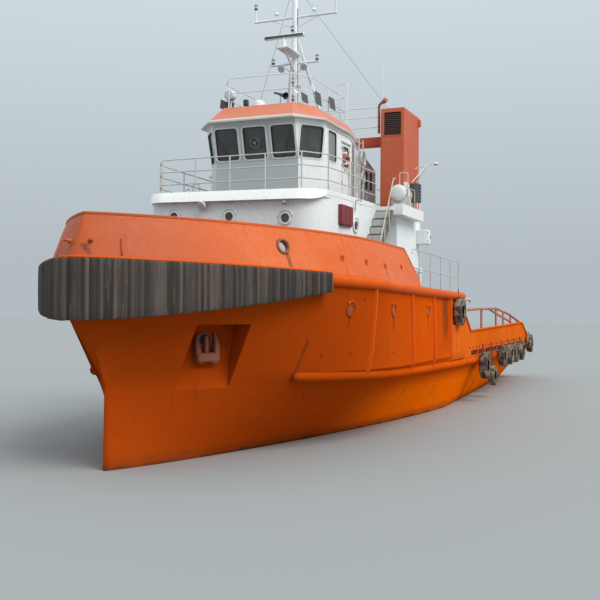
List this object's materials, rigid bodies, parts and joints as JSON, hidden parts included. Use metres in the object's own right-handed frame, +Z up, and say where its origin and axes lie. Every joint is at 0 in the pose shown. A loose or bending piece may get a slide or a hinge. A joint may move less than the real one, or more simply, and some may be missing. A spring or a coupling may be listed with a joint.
{
  "type": "anchor handling tugboat",
  "caption": "Steel tug with a raised forecastle, white wheelhouse, twin funnels, low working deck, towing winch, stern roller and ducted propellers.",
  "frame": {"origin": "on the centreline, amidships, at the waterline", "axes": "+X towards the bow, +Y to port, +Z up"},
  "size_m": [38.24, 10.1484, 18.8],
  "materials": {
    "hull_paint": "weathered orange gloss",
    "red_paint": "weathered red satin",
    "white_paint": "weathered white gloss",
    "grey_paint": "satin",
    "rail_paint": "faded satin",
    "fender_rubber": "worn, matt",
    "tyre_rubber": "worn, matt",
    "window_glass": "clear",
    "bare_steel": "worn",
    "bronze": "machined",
    "black_vinyl": "matt"
  },
  "bodies": {
    "hull": {"hull": "hull_paint", "skeg": "hull_paint", "bow_bulwark": "hull_paint", "wheelhouse_roof": "hull_paint", "winch_frame": "hull_paint", "stern_tube_port": "hull_paint", "stern_tube_starboard": "hull_paint", "side_guards_port": "hull_paint", "side_guards_starboard": "hull_paint", "aft_bulwark_port": "hull_paint", "aft_bulwark_starboard": "hull_paint", "anchor_port": "hull_paint", "anchor_starboard": "hull_paint", "funnel_beam": "red_paint", "funnel_port": "red_paint", "funnel_starboard": "red_paint", "nozzle_port": "red_paint", "nozzle_starboard": "red_paint", "deckhouse": "white_paint", "engine_casing": "white_paint", "bridge_deck": "white_paint", "wheelhouse": "white_paint", "bridge_rail": "white_paint", "aft_bridge_rail": "white_paint", "roof_rail": "white_paint", "mast": "white_paint", "life_raft_port": "white_paint", "life_raft_starboard": "white_paint", "windlass_frame": "grey_paint", "bridge_console": "grey_paint", "side_rail_port": "grey_paint", "side_rail_starboard": "grey_paint", "stair_port": "grey_paint", "stair_starboard": "grey_paint", "crash_rail_port": "rail_paint", "crash_rail_starboard": "rail_paint", "bow_fender": "fender_rubber", "tyre_fenders_port": "tyre_rubber", "tyre_fenders_starboard": "tyre_rubber", "front_glazing": "window_glass", "aft_glazing": "window_glass", "fore_bitt": "bare_steel", "aft_bitts_port": "bare_steel", "aft_bitts_starboard": "bare_steel", "helm_chair": "black_vinyl"},
    "stern_roller": {"stern_roller": "bare_steel"},
    "winch_drum": {"winch_drum": "bare_steel"},
    "windlass_drum": {"windlass_drum": "bare_steel"},
    "wheelhouse_door_port": {"wheelhouse_door_port": "white_paint"},
    "wheelhouse_door_starboard": {"wheelhouse_door_starboard": "white_paint"},
    "casing_door": {"casing_door": "white_paint"},
    "break_door": {"break_door": "hull_paint"},
    "hatch_lid": {"hatch_lid": "hull_paint"},
    "radar_scanner": {"radar_scanner": "white_paint"},
    "propeller_port": {"propeller_port": "bronze"},
    "propeller_starboard": {"propeller_starboard": "bronze"},
    "rudder_port": {"rudder_port": "red_paint"},
    "rudder_starboard": {"rudder_starboard": "red_paint"}
  },
  "joints": [
    {"name": "stern_roller_spin", "type": "hinge", "parent": "hull", "child": "stern_roller", "pos_m": [-18.77, 0, 1.7], "axis": [0, 1, 0], "continuous": true},
    {"name": "winch_drum_spin", "type": "hinge", "parent": "hull", "child": "winch_drum", "pos_m": [-1.9, 0, 2.95], "axis": [0, 1, 0], "continuous": true},
    {"name": "windlass_drum_spin", "type": "hinge", "parent": "hull", "child": "windlass_drum", "pos_m": [14.3, 0, 5.15], "axis": [0, 1, 0], "continuous": true},
    {"name": "wheelhouse_door_port_swing", "type": "hinge", "parent": "hull", "child": "wheelhouse_door_port", "pos_m": [7.105, 2.055, 8.3], "axis": [0, 0, -1], "range_deg": [0, 100]},
    {"name": "wheelhouse_door_starboard_swing", "type": "hinge", "parent": "hull", "child": "wheelhouse_door_starboard", "pos_m": [7.105, -2.055, 8.3], "axis": [0, 0, 1], "range_deg": [0, 100]},
    {"name": "casing_door_swing", "type": "hinge", "parent": "hull", "child": "casing_door", "pos_m": [3.295, 1.285, 5.75], "axis": [0, 0, -1], "range_deg": [0, 100]},
    {"name": "break_door_swing", "type": "hinge", "parent": "hull", "child": "break_door", "pos_m": [0.495, -1.985, 3.07], "axis": [0, 0, 1], "range_deg": [0, 100]},
    {"name": "hatch_lid_lift", "type": "hinge", "parent": "hull", "child": "hatch_lid", "pos_m": [-12.92, 2.5, 2.356], "axis": [0, -1, 0], "range_deg": [0, 95]},
    {"name": "radar_scanner_spin", "type": "hinge", "parent": "hull", "child": "radar_scanner", "pos_m": [7.15, 0, 12.7], "axis": [0, 0, 1], "continuous": true},
    {"name": "propeller_port_spin", "type": "hinge", "parent": "hull", "child": "propeller_port", "pos_m": [-15.6, 2, -2.15], "axis": [1, 0, 0], "continuous": true},
    {"name": "propeller_starboard_spin", "type": "hinge", "parent": "hull", "child": "propeller_starboard", "pos_m": [-15.6, -2, -2.15], "axis": [1, 0, 0], "continuous": true},
    {"name": "rudder_port_steer", "type": "hinge", "parent": "hull", "child": "rudder_port", "pos_m": [-17.15, 2, -2.15], "axis": [0, 0, 1], "range_deg": [-35, 35]},
    {"name": "rudder_starboard_steer", "type": "hinge", "parent": "hull", "child": "rudder_starboard", "pos_m": [-17.15, -2, -2.15], "axis": [0, 0, 1], "range_deg": [-35, 35]}
  ]
}
